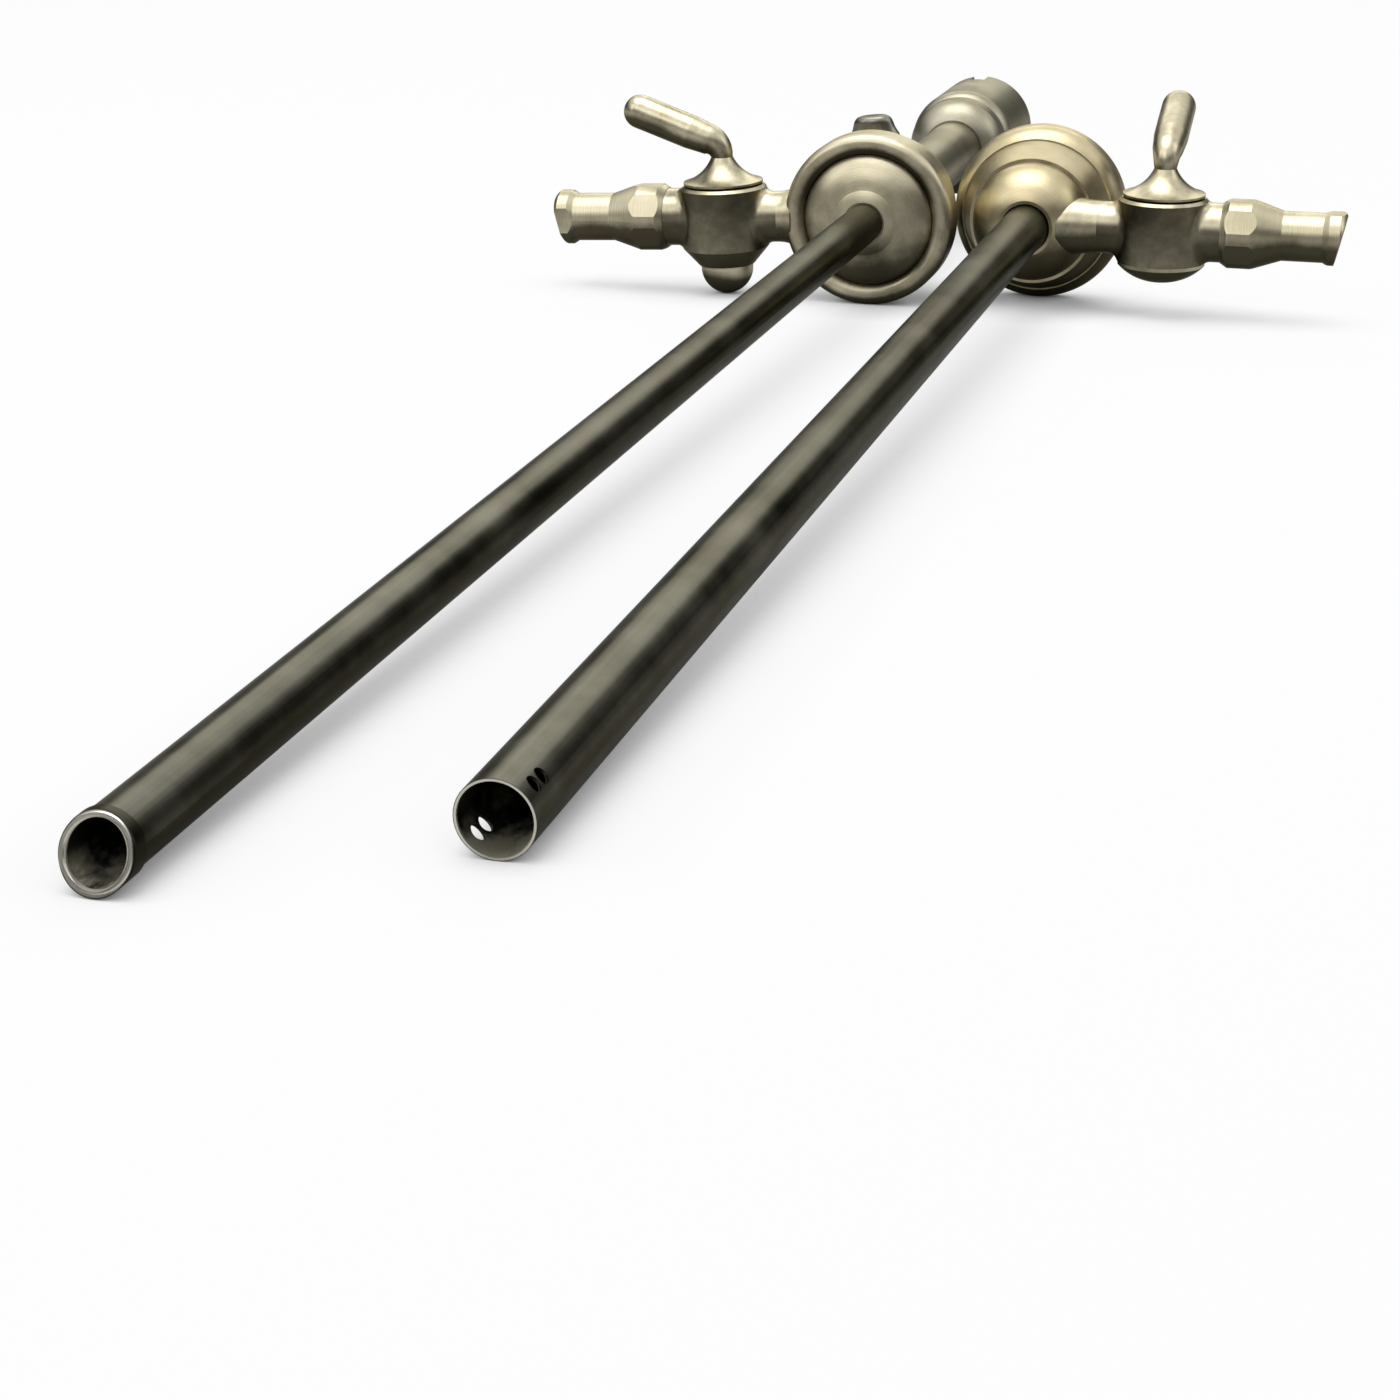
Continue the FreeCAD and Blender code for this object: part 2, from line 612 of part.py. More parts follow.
def make_rear_coupling():
    keep(turned("inner_rear_sleeve", inner_place, "tube", (
        ("inner_tube_radius", "tail_back"),
        ("shaft_radius", "tail_back"),
        ("shaft_radius", "rear_front"),
        ("inner_tube_radius", "rear_front"),
    )))
    front = turned("rear_coupling_nose", inner_place, "tube", (
        ("inner_tube_radius", "rear_front"),
        ("shaft_radius + 0.3", "rear_front", "rear_radius * 0.62"),
        ("rear_radius", "rear_front + rear_crown"),
        ("rear_radius", "rear_split"),
        ("rear_spigot_radius", "rear_split"),
        ("rear_spigot_radius", "rear_split + rear_spigot"),
        ("inner_bore", "rear_split + rear_spigot"),
        ("inner_bore", "tube_tail"),
        ("inner_tube_radius", "tube_tail"),
    ))
    keep(front)
    back = turned("rear_coupling_socket", inner_place, "tube", (
        ("rear_spigot_radius", "rear_split"),
        ("rear_radius - 0.5", "rear_split", "flange_round"),
        ("flange_radius", "rear_split + flange_round"),
        ("flange_radius", "rear_back"),
        ("socket_radius", "rear_back"),
        ("socket_radius", "socket_floor"),
        ("seal_radius + seal_thick + 0.1", "socket_floor"),
        ("seal_radius + seal_thick + 0.1", "socket_floor - 2 * seal_thick"),
        ("seal_radius - seal_thick - 0.1", "socket_floor - 2 * seal_thick"),
        ("seal_radius - seal_thick - 0.1", "socket_floor"),
        ("inner_bore", "socket_floor"),
        ("inner_bore", "rear_split + rear_spigot"),
        ("rear_spigot_radius", "rear_split + rear_spigot"),
    ))
    rounded(back, (("flange_radius", "rear_back"),), "0.7")
    sketch = new_sketch(back, "XY_Plane")
    outline(sketch, (
        ("-0.5 * key_width", "rear_back - key_depth"),
        ("0.5 * key_width", "rear_back - key_depth"),
        ("0.5 * key_width", "rear_back + 1"),
        ("-0.5 * key_width", "rear_back + 1"),
    ))
    key = cut_away(back, sketch, "flange_radius + 1", True)
    circled(back, key, "Y_Axis", 2)
    keep(back)
    keep(ring_of("rear_seal", inner_place, "seal_radius", "socket_floor - seal_thick", "seal_thick"))


def make_outer_tube():
    body = turned("outer_tube", outer_place, "tube", (
        ("outer_bore", "-1 * outer_reach"),
        ("outer_tube_radius", "-1 * outer_reach"),
        ("outer_tube_radius", "0"),
        ("outer_seat_radius", "0"),
        ("outer_seat_radius", "outer_seat"),
        ("outer_bore", "outer_seat"),
    ))
    round_hole(body, "YZ_Plane", ("outer_port", "0"), "channel_radius", "outer_tube_radius + 1", True)
    rolled = Placement(Vector(0, 0, 0), Rotation(Vector(0, 1, 0), size["side_hole_roll"]))
    sketch = new_sketch(body, "XY_Plane", rolled)
    for number in range(2):
        place = "side_hole_first + %d * side_hole_pitch - outer_reach" % number
        spot = Vector(0, value(place), 0)
        hole = sketch.addGeometry(Part.Circle(spot, Vector(0, 0, 1), size["side_hole_radius"]))
        bind_coordinate(sketch, "DistanceX", hole, 3, "0", 0.0)
        bind_coordinate(sketch, "DistanceY", hole, 3, place, spot.y)
        index = sketch.addConstraint(Sketcher.Constraint("Radius", hole, size["side_hole_radius"]))
        sketch.setExpression("Constraints[%d]" % index, bound("side_hole_radius"))
    cut_away(body, sketch, "4 * outer_tube_radius", both_ways=True)
    return keep(body)


def make_outer_hub():
    nose = turned("outer_hub_nose", outer_place, "tube", (
        ("outer_seat_radius", "0"),
        ("dome_flat", "0", "dome_crown"),
        ("dome_radius", "dome_length"),
        ("dome_radius + step_height", "dome_length"),
        ("cone_radius", "cone_length"),
        ("chamber_radius", "cone_length"),
        ("chamber_radius", "outer_seat"),
        ("outer_seat_radius", "outer_seat"),
    ))
    round_hole(nose, "YZ_Plane", ("outer_port", "0"), "channel_radius", "cone_radius + 1", True)
    keep(nose)
    drum = turned("outer_drum", outer_place, "tube", (
        ("socket_bore", "cone_length"),
        ("cone_radius + 0.2", "cone_length", "outer_drum_crown"),
        ("outer_drum_radius", "outer_shoulder"),
        ("outer_drum_radius", "outer_drum_back"),
        ("face_seal_radius + seal_thick + 0.05", "outer_drum_back"),
        ("face_seal_radius + seal_thick + 0.05", "outer_drum_back - 1.6 * seal_thick"),
        ("face_seal_radius - seal_thick - 0.05", "outer_drum_back - 1.6 * seal_thick"),
        ("face_seal_radius - seal_thick - 0.05", "outer_drum_back"),
        ("socket_bore + spigot_wall", "outer_drum_back"),
        ("socket_bore + spigot_wall", "outer_drum_back + spigot_length"),
        ("socket_bore", "outer_drum_back + spigot_length"),
    ))
    rounded(drum, (("outer_drum_radius", "outer_drum_back"),), "0.5")
    keep(drum)
    keep(ring_of(
        "outer_face_seal", outer_place, "face_seal_radius", "outer_drum_back - 0.6 * seal_thick", "seal_thick"
    ))
    return nose


def barrel_corners(long_neck):
    """Outline of a stopcock barrel, which ends in a neck or in a wide open bottom."""
    roof = (
        ("barrel_radius", "barrel_top"),
        ("barrel_radius - barrel_chamfer", "barrel_roof"),
        ("stem_radius + seat_clear", "barrel_roof"),
        ("stem_radius + seat_clear", "plug_top + seat_clear"),
        ("plug_top_radius + seat_clear", "plug_top + seat_clear"),
        ("plug_low_radius + seat_clear", "-1 * plug_drop"),
        ("screw_radius", "-1 * plug_drop"),
    )
    if long_neck:
        return (
            ("screw_radius", "-1 * neck_drop"),
            ("neck_radius", "-1 * neck_drop"),
            ("barrel_radius", "-1 * barrel_low"),
        ) + roof
    return (
        ("screw_radius", "-1 * spring_low"),
        ("neck_radius", "-1 * spring_low"),
        ("neck_radius", "-1 * barrel_low"),
        ("barrel_radius", "-1 * barrel_low"),
    ) + roof


def make_barrel(label, place, long_neck, cock_out, stub_start, hub):
    """Barrel with the arm from the hub and the arm to the connector, cast in one."""
    body = turned(label + "_casting", place, "stem", barrel_corners(long_neck))
    for radius_text, length_text, inwards in (
        ("outlet_radius", "outlet_reach", False),
        ("stub_radius", cock_out + " - " + stub_start, True),
    ):
        sketch = new_sketch(body, "YZ_Plane")
        sketch.addGeometry(Part.Circle(Vector(0, 0, 0), Vector(0, 0, 1), value(radius_text)))
        sketch.addConstraint(Sketcher.Constraint("Coincident", 0, 3, -1, 1))
        index = sketch.addConstraint(Sketcher.Constraint("Radius", 0, value(radius_text)))
        sketch.setExpression("Constraints[%d]" % index, bound(radius_text))
        arm = body.newObject("PartDesign::Pad", label + "_arm")
        arm.Profile = sketch
        arm.Reversed = inwards
        arm.setExpression("Length", bound(length_text))
        doc.recompute()
    blend_arms(body)
    hollow = new_sketch(body, "XZ_Plane")
    outline(hollow, (
        ("0", "-1 * plug_drop"),
        ("plug_low_radius + seat_clear", "-1 * plug_drop"),
        ("plug_top_radius + seat_clear", "plug_top + seat_clear"),
        ("stem_radius + seat_clear", "plug_top + seat_clear"),
        ("stem_radius + seat_clear", "barrel_roof + 1"),
        ("0", "barrel_roof + 1"),
    ))
    seat = body.newObject("PartDesign::Groove", label + "_seat")
    seat.Profile = hollow
    seat.ReferenceAxis = (hollow, ["V_Axis"])
    seat.Angle = 360
    doc.recompute()
    round_hole(body, "YZ_Plane", ("0", "0"), "channel_radius", cock_out, False)
    round_hole(body, "YZ_Plane", ("0", "0"), "channel_radius", "outlet_reach + 1", True)
    face = Placement(Vector(0, 0, value("outlet_reach - thread_length")), Rotation())
    round_hole(body, "YZ_Plane", ("0", "0"), "thread_radius", "thread_length + 1", True, face)
    return keep(boolean("Part::Cut", label, body, hub))


def blend_arms(body):
    """Fillets the closed curves where the two arms meet the upright barrel."""
    base = body.Tip
    names = []
    for number, edge in enumerate(base.Shape.Edges, start=1):
        box = edge.BoundBox
        bent = box.XLength > 0.3 and box.YLength > 1 and box.ZLength > 1
        on_barrel = all(
            abs(math.hypot(point.x, point.y) - size["barrel_radius"]) < 0.01
            for point in edge.discretize(7)
        )
        if bent and on_barrel:
            names.append("Edge%d" % number)
    fillet = body.newObject("PartDesign::Fillet", body.Label + "_blend")
    fillet.Base = (base, names)
    fillet.setExpression("Radius", bound("stub_blend"))
    doc.recompute()


def make_plug(label, place):
    """Tapered plug with its cross hole, which lies along the lever."""
    plug = turned(label, place, "stem", (
        ("0", "-1 * plug_drop"),
        ("plug_low_radius", "-1 * plug_drop"),
        ("plug_top_radius", "plug_top"),
        ("stem_radius", "plug_top"),
        ("stem_radius", "stem_top"),
        ("0", "stem_top"),
    ))
    round_hole(plug, "YZ_Plane", ("0", "0"), "plug_channel", "plug_low_radius + 1", False)
    round_hole(plug, "YZ_Plane", ("0", "0"), "plug_channel", "plug_low_radius + 1", True)
    return keep(plug)


def make_lever(label, place):
    """Lever: a turned head on the stem, a thin bent neck and a thick round grip."""
    head = turned(label + "_head", place, "stem", (
        ("stem_radius", "head_low"),
        ("head_radius", "head_low"),
        ("head_radius", "head_low + head_edge", "-head_radius * 1.05"),
        ("neck_thin", "neck_start"),
        ("0", "neck_start"),
        ("0", "stem_top"),
        ("stem_radius", "stem_top"),
    ))
    turn = 90 - size["grip_slope"]
    bend = size["bend_radius"]
    sections = []
    steps = 4
    for step in range(steps + 1):
        lean = turn * step / steps
        x = bend * (1 - math.cos(math.radians(lean)))
        z = size["neck_start"] + bend * math.sin(math.radians(lean))
        circle = doc.addObject("Part::Circle", "%s_section_%d" % (label, step))
        circle.Radius = size["neck_thin"] + (size["grip_start"] - size["neck_thin"]) * step / steps
        circle.Placement = moved(place, x, 0, z, Rotation(Vector(0, 1, 0), lean))
        sections.append(circle)
    neck = lofted(label + "_neck", sections)
    slope_place = moved(place, x, 0, z, Rotation(Vector(0, 1, 0), turn))
    grip = turned(label + "_grip", slope_place, "stem", (
        ("0", "0"),
        ("grip_start", "0"),
        ("grip_radius", "grip_taper"),
        ("grip_radius", "grip_length", "grip_radius"),
        ("0", "grip_length + grip_radius"),
    ))
    return keep(boolean("Part::MultiFuse", label, head, neck, grip))


def make_spring(label, place):
    """Disc spring that presses the plug up into its taper."""
    return keep(turned(label, place, "stem", (
        ("spring_inner", "-1 * plug_drop - spring_thick"),
        ("screw_radius - 0.2", "-1 * spring_low"),
        ("screw_radius - 0.2", "-1 * spring_low + spring_thick"),
        ("spring_inner", "-1 * plug_drop"),
    )))


def make_foot_cap(place):
    """Domed screw cap under the inner stopcock, which also stands on the table."""
    upright = place.Rotation.multVec(Vector(0, 0, 1)).z
    depth = (place.Base.z - size["foot_radius"]) / upright
    cap = turned("inner_cock_cap", place, "stem", (
        ("0", "-1 * spring_low"),
        ("0", "-1 * %.6f - foot_radius" % depth, "foot_radius"),
        ("foot_radius", "-1 * %.6f" % depth),
        ("foot_radius", "-1 * neck_drop"),
        ("screw_radius", "-1 * neck_drop"),
        ("screw_radius", "-1 * spring_low"),
    ))
    return keep(cap)


def make_dome_cap(place):
    """Wide domed screw cap that closes the outer stopcock from below."""
    return keep(turned("outer_cock_cap", place, "stem", (
        ("0", "-1 * spring_low"),
        ("0", "-1 * cap_drop", "cap_crown"),
        ("barrel_radius - 0.15", "-1 * barrel_low - 0.5"),
        ("barrel_radius - 0.15", "-1 * barrel_low"),
        ("neck_radius", "-1 * barrel_low"),
        ("neck_radius", "-1 * spring_low"),
    )))


def make_connector(label, place, ears):
    """Locking hose connector: six flats on its collar, a waist and two locking ears."""
    body = turned(label, place, "arm", (
        ("outlet_reach - thread_length", "channel_radius - 0.1"),
        ("connector_end - cone_depth", "channel_radius - 0.1"),
        ("connector_end - cone_depth", "cone_throat"),
        ("connector_end", "cone_mouth"),
        ("connector_end", "cone_mouth + 0.4", "rim_round"),
        ("connector_end - 0.9", "lug_radius"),
        ("lug_start + 0.8", "lug_radius"),
        ("lug_start", "waist_radius"),
        ("waist_start", "waist_radius"),
        ("collar_end", "collar_radius"),
        ("collar_start", "collar_radius"),
        ("outlet_reach", "outlet_radius + 0.1"),
        ("outlet_reach", "thread_radius"),
        ("outlet_reach - thread_length", "thread_radius"),
    ))
    flat = new_sketch(body, "XY_Plane", Placement(Vector(0, 0, size["connector_flat"]), Rotation()))
    outline(flat, (
        ("outlet_reach - 1", "-1 * collar_radius"),
        ("waist_start + 1", "-1 * collar_radius"),
        ("waist_start + 1", "collar_radius"),
        ("outlet_reach - 1", "collar_radius"),
    ))
    facet = cut_away(body, flat, "collar_radius", True)
    circled(body, facet, "X_Axis", 6)
    side = new_sketch(body, ears, Placement(Vector(0, 0, value("waist_radius + 0.03")), Rotation()))
    outline(side, (
        ("waist_start + 1", "-1 * collar_radius"),
        ("connector_end + 1", "-1 * collar_radius"),
        ("connector_end + 1", "collar_radius"),
        ("waist_start + 1", "collar_radius"),
    ))
    side_cut = cut_away(body, side, "collar_radius", True)
    circled(body, side_cut, "X_Axis", 2)
    slant = new_sketch(body, "XZ_Plane")
    outline(slant, (
        ("connector_end - connector_slant", "-1 * lug_radius"),
        ("connector_end - connector_slant", "-1 * lug_radius - 1"),
        ("connector_end + 1", "-1 * lug_radius - 1"),
        ("connector_end + 1", "lug_radius"),
        ("connector_end", "lug_radius"),
    ))
    cut_away(body, slant, "4 * lug_radius", both_ways=True)
    return keep(body)


def make_stopcock(name, sheath_place, facing, hub, lever_turn, footed):
    """Everything on a side arm. facing turns the arm outwards, lever_turn sets the lever."""
    cock_out = name + "_cock_out"
    outwards = Rotation(Vector(0, 0, 1), facing)
    middle = outwards.multVec(Vector(size[cock_out], 0, 0))
    place = moved(sheath_place, middle.x, size[name + "_port"] + middle.y, 0, outwards)
    lever_place = moved(place, turn=Rotation(Vector(0, 0, 1), lever_turn))
    make_barrel(name + "_cock_body", place, footed, cock_out, name + "_stub_start", hub)
    make_plug(name + "_cock_plug", lever_place)
    make_lever(name + "_cock_lever", lever_place)
    make_spring(name + "_cock_spring", place)
    if footed:
        make_foot_cap(place)
    else:
        make_dome_cap(place)
    make_connector(name + "_connector", place, "XZ_Plane" if name == "inner" else "XY_Plane")
    return place


make_inner_tube()
make_tip_band()
inner_drum = make_inner_hub()
make_lock_ring(inner_drum)
make_rear_coupling()
make_outer_tube()
outer_nose = make_outer_hub()

inner_cock = make_stopcock("inner", inner_place, 180, inner_drum, 0, True)
core = doc.addObject("Part::Cylinder", "outer_hub_core")
core.setExpression("Radius", bound("chamber_radius"))
core.setExpression("Height", bound("cone_length"))
core.Placement = moved(outer_place, turn=Rotation(Vector(1, 0, 0), -90))
solid_hub = boolean("Part::MultiFuse", "outer_hub_solid", outer_nose, core)
outer_cock = make_stopcock("outer", outer_place, 0, solid_hub, 90, False)

doc.recompute()

# Nothing is written unless every object is sound
for item in doc.Objects:
    bad = [state for state in item.State if state in ("Invalid", "Error")]
    if bad:
        raise RuntimeError(item.Label + " failed: " + ", ".join(bad))
os.makedirs("parts", exist_ok=True)
total = Part.Compound([piece.Shape for piece in kept]).BoundBox
for piece in kept:
    shape = piece.Shape
    if shape.isNull() or not shape.isValid():
        raise RuntimeError(piece.Label + " has no sound shape")
    if not shape.Solids:
        raise RuntimeError(piece.Label + " has no solid")
    shape.exportStep("parts/%s.step" % piece.Label)
    print("%-24s solids %d volume %9.2f" % (piece.Label, len(shape.Solids), shape.Volume))
print("pieces", len(kept), "box", total)


def show(word, place, point):
    """Prints a point and the axes there in metres for the part's record."""
    spot = place.multVec(point)
    axes = [place.Rotation.multVec(axis) for axis in (Vector(1, 0, 0), Vector(0, 1, 0), Vector(0, 0, 1))]
    print(word, [round(number / 1000, 6) for number in spot], [[round(number, 6) for number in axis] for axis in axes])


show("inner nose", inner_place, Vector(0, 0, 0))
show("inner tube middle", inner_place, Vector(0, -size["inner_reach"] / 2, 0))
show("inner coupling face", inner_place, Vector(0, size["rear_back"], 0))
show("outer nose", outer_place, Vector(0, 0, 0))
show("outer socket mouth", outer_place, Vector(0, value("outer_drum_back + spigot_length"), 0))
show("outer tip", outer_place, Vector(0, -size["outer_reach"], 0))
show("inner stopcock", inner_cock, Vector(0, 0, 0))
show("outer stopcock", outer_cock, Vector(0, 0, 0))
show("inner connector end", inner_cock, Vector(size["connector_end"], 0, 0))
show("outer connector end", outer_cock, Vector(size["connector_end"], 0, 0))
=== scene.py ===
"""Dresses the two packed sheaths in their metals and sets them up for a photograph on a white
table.
"""

import math

import bpy
from mathutils import Matrix, Vector


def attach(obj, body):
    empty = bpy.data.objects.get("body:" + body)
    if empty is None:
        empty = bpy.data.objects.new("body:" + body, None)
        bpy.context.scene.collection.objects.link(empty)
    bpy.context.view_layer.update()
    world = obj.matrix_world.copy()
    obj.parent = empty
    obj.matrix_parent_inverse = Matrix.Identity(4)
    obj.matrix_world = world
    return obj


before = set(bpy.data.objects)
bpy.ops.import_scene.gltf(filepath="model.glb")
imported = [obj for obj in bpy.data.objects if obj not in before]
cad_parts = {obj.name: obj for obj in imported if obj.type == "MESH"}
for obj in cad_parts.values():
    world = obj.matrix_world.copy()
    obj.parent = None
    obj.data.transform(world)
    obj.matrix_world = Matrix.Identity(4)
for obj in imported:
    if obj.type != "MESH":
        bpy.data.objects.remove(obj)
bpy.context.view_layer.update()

MM = 0.001

# How each sheath lies on the table, as turns in degrees
INNER_TURNS = ((-0.6, "Z"), (2.177, "X"), (-3.0, "Y"))
OUTER_TURNS = ((2.187, "X"),)

# Where each tube leaves its hub, and where each stopcock plug crosses its arm, in metres
INNER_NOSE = (-0.009601, 0.076587, 0.012065)
OUTER_NOSE = (0.012599, 0.078087, 0.011787)
INNER_TAP = (-0.031336, 0.080056, 0.011046)
OUTER_TAP = (0.031299, 0.082284, 0.011948)

# The tubes: from the nose to the tip, radius of the bore, and the slanting cut of the inner mouth
OUTER_REACH = 223.8 * MM
INNER_REACH = 237.6 * MM
OUTER_BORE = 3.0 * MM
INNER_BORE = 2.4 * MM
BAND_DIAMETER = 5.9
MOUTH_OVERHANG = 2.4
MOUTH_SLANT = MOUTH_OVERHANG / BAND_DIAMETER
MOUTH_MIDDLE = -INNER_REACH + MOUTH_OVERHANG / 2 * MM


def lie_of(turns, extra=()):
    """The turns of a sheath, and then of one of its axes, as one Euler turn."""
    lie = Matrix.Identity(3)
    for degrees, axis in (*turns, *extra):
        lie = lie @ Matrix.Rotation(math.radians(degrees), 3, axis)
    return lie.to_euler("XYZ")


# Every turned piece gets its tool marks round its own axis: tube, side arm or stopcock plug
ALONG_ARM = ((90.0, "Z"),)
ALONG_PLUG = ((90.0, "X"),)
PLACES = {
    "inner_tube": (INNER_NOSE, lie_of(INNER_TURNS)),
    "inner_arm": (INNER_TAP, lie_of(INNER_TURNS, ALONG_ARM)),
    "inner_tap": (INNER_TAP, lie_of(INNER_TURNS, ALONG_PLUG)),
    "outer_tube": (OUTER_NOSE, lie_of(OUTER_TURNS)),
    "outer_arm": (OUTER_TAP, lie_of(OUTER_TURNS, ALONG_ARM)),
    "outer_tap": (OUTER_TAP, lie_of(OUTER_TURNS, ALONG_PLUG)),
}

# ---- shader nodes


def add(tree, kind, settings=None, **inputs):
    """Adds one shader node. Input names have their spaces written as underscores."""
    node = tree.nodes.new(kind)
    for name, value in (settings or {}).items():
        setattr(node, name, value)
    for name, value in inputs.items():
        socket = node.inputs[name.replace("_", " ")]
        if isinstance(value, bpy.types.NodeSocket):
            tree.links.new(value, socket)
        else:
            socket.default_value = value
    return node


def blank_material(name):
    material = bpy.data.materials.new(name)
    material.use_nodes = True
    material.node_tree.nodes.clear()
    return material, material.node_tree


def surface(tree, shader):
    """Shows a shader on the faces of the material."""
    output = add(tree, "ShaderNodeOutputMaterial")
    tree.links.new(shader.outputs[0], output.inputs["Surface"])


def coordinates(tree, nose, lie):
    """Object coordinates seen from a point on an axis, with Y along that axis."""
    here = add(tree, "ShaderNodeTexCoord").outputs["Object"]
    moved = add(tree, "ShaderNodeVectorMath", {"operation": "SUBTRACT"})
    tree.links.new(here, moved.inputs[0])
    moved.inputs[1].default_value = nose
    turned = add(tree, "ShaderNodeVectorRotate", {"rotation_type": "EULER_XYZ", "invert": True})
    tree.links.new(moved.outputs[0], turned.inputs["Vector"])
    turned.inputs["Rotation"].default_value = lie
    return turned.outputs["Vector"]


def scaled(tree, vector, scale):
    node = add(tree, "ShaderNodeVectorMath", {"operation": "MULTIPLY"})
    tree.links.new(vector, node.inputs[0])
    node.inputs[1].default_value = scale
    return node.outputs[0]


def noise(tree, vector, scale, detail=3.0, roughness=0.55):
    node = add(
        tree, "ShaderNodeTexNoise",
        Vector=vector, Scale=scale, Detail=detail, Roughness=roughness,
    )
    return node.outputs["Fac"]


def spread(tree, value, low, high, to_low=0.0, to_high=1.0, smooth=False):
    """Carries the range from low to high over to another range, and holds it at both ends."""
    settings = {"interpolation_type": "SMOOTHSTEP"} if smooth else None
    node = add(
        tree, "ShaderNodeMapRange", settings,
        Value=value, From_Min=low, From_Max=high, To_Min=to_low, To_Max=to_high,
    )
    return node.outputs["Result"]


def between(tree, factor, first, second):
    """Blends two colours. Either may be a colour or what another node gives."""
    node = add(tree, "ShaderNodeMix", {"data_type": "RGBA"})
    tree.links.new(factor, node.inputs[0])
    for socket, colour in ((node.inputs[6], first), (node.inputs[7], second)):
        if isinstance(colour, bpy.types.NodeSocket):
            tree.links.new(colour, socket)
        else:
            socket.default_value = (*colour, 1.0)
    return node.outputs[2]


def join(tree, operation, first, second):
    """Arithmetic on two values, each a number or what another node gives."""
    node = add(tree, "ShaderNodeMath", {"operation": operation})
    for socket, value in zip(node.inputs, (first, second)):
        if isinstance(value, bpy.types.NodeSocket):
            tree.links.new(value, socket)
        else:
            socket.default_value = value
    return node.outputs[0]


def weighed(tree, first, first_share, second, second_share):
    """Adds two values, each by its share."""
    return join(
        tree, "ADD",
        join(tree, "MULTIPLY", first, first_share),
        join(tree, "MULTIPLY", second, second_share),
    )


def radius_and_length(tree, place):
    """How far a point is from the axis, and how far along it."""
    parts = add(tree, "ShaderNodeSeparateXYZ", Vector=place)
    flat = add(tree, "ShaderNodeCombineXYZ", X=parts.outputs["X"], Z=parts.outputs["Z"])
    radius = add(tree, "ShaderNodeVectorMath", {"operation": "LENGTH"})
    tree.links.new(flat.outputs[0], radius.inputs[0])
    return radius.outputs["Value"], parts.outputs["Y"]


# ---- tool marks


def turned_lines(pitch):
    """Fine rings left by turning, on the sides as well as on the flat ends."""
    def lines(tree, where):
        radius, along = radius_and_length(tree, where)
        step = join(tree, "MULTIPLY", join(tree, "ADD", radius, along), 1 / pitch)
        rings = add(
            tree, "ShaderNodeTexNoise", {"noise_dimensions": "1D"},
            W=step, Scale=1.0, Detail=2.0,
        )
        return rings.outputs["Fac"]
    return lines


def drawn_lines(tree, where):
    """Hair lines that run along a drawn tube."""
    fine = noise(tree, scaled(tree, where, (3000.0, 9.0, 3000.0)), 1.0, 2.0)
    wide = noise(tree, scaled(tree, where, (900.0, 4.0, 900.0)), 1.0, 3.0)
    return weighed(tree, fine, 0.55, wide, 0.45)


def cast_skin(tree, where):
    """Faint pits of a blasted casting."""
    return noise(tree, where, 900.0, 3.0, 0.6)


# ---- metals and rubber

# Colours as linear values: the worn parts, the bright parts, and the painted shade of the
# undersides
NICKEL = ((0.38, 0.34, 0.225), (0.68, 0.625, 0.46), (0.028, 0.024, 0.014))
WORN_NICKEL = ((0.40, 0.335, 0.19), (0.68, 0.60, 0.41), (0.028, 0.024, 0.014))
TUBE_STEEL = ((0.065, 0.063, 0.050), (0.160, 0.155, 0.124), (0.008, 0.0075, 0.0055))
TIP_STEEL = ((0.015, 0.014, 0.011), (0.085, 0.082, 0.064), (0.008, 0.008, 0.006))
GROUND_STEEL = ((0.12, 0.115, 0.095), (0.26, 0.25, 0.21), (0.02, 0.019, 0.015))
REAR_NICKEL = ((0.25, 0.23, 0.165), (0.46, 0.43, 0.335), (0.026, 0.023, 0.014))
KNOB_NICKEL = ((0.16, 0.15, 0.12), (0.34, 0.325, 0.27), (0.024, 0.022, 0.015))
BORE_PAINTED_LIGHT = (0.64, 0.61, 0.48)
RIM_PAINTED_HIGHLIGHT = (0.56, 0.54, 0.47)
RUBBER = ((0.012, 0.012, 0.013), (0.035, 0.035, 0.038))
EDGE_TINT = (0.55, 0.54, 0.50, 1.0)

# Upward share of a face's direction at which the painted shade starts, and at which it is full
HUB_FACING = (0.24, -0.38)
TUBE_FACING = (0.85, -0.10)
TAP_FACING = (0.80, -0.25)
BORE_FACING = (0.75, 0.05)
UNDERSIDE_SHADE_DEPTH = 0.94

# Roughness where the metal is bright and where it is worn
SATIN = (0.26, 0.40)
HUB_SATIN = (0.33, 0.46)
CAST_SATIN = (0.30, 0.42)
SMOOTH = (0.20, 0.32)
BORE_ROUGHER = 0.30
RUBBER_ROUGHNESS = 0.62

# Heights of the grain and of the tool marks, in millimetres
HUB_RELIEF = (0.004, 0.006)
CAST_RELIEF = (0.004, 0.005)
GROUND_RELIEF = (0.003, 0.005)
DRAWN_RELIEF = (0.003, 0.004)
TIP_RELIEF = (0.006, 0.006)

# How fine the clouds of handling, the grain, the dust on rubber and the patches of painted light
# in the bores are, per metre
CLOUDS = 85.0
GRAIN = 6500.0
DUST = 900.0
LIT_PATCH_SCALE = (320.0, 160.0, 320.0)

# The painted highlight on the rim of a mouth: where it starts behind the tip, and how wide it is
# round the bore
RIM_START = 0.30 * MM
RIM_FULL = 0.20 * MM
RIM_FADE = 0.08 * MM
THIN_LIP = 0.15 * MM
BAND_LIP = 0.44 * MM

HUB_LINES = turned_lines(0.12 * MM)
FINE_LINES = turned_lines(0.08 * MM)
TIP_LINES = turned_lines(0.1 * MM)


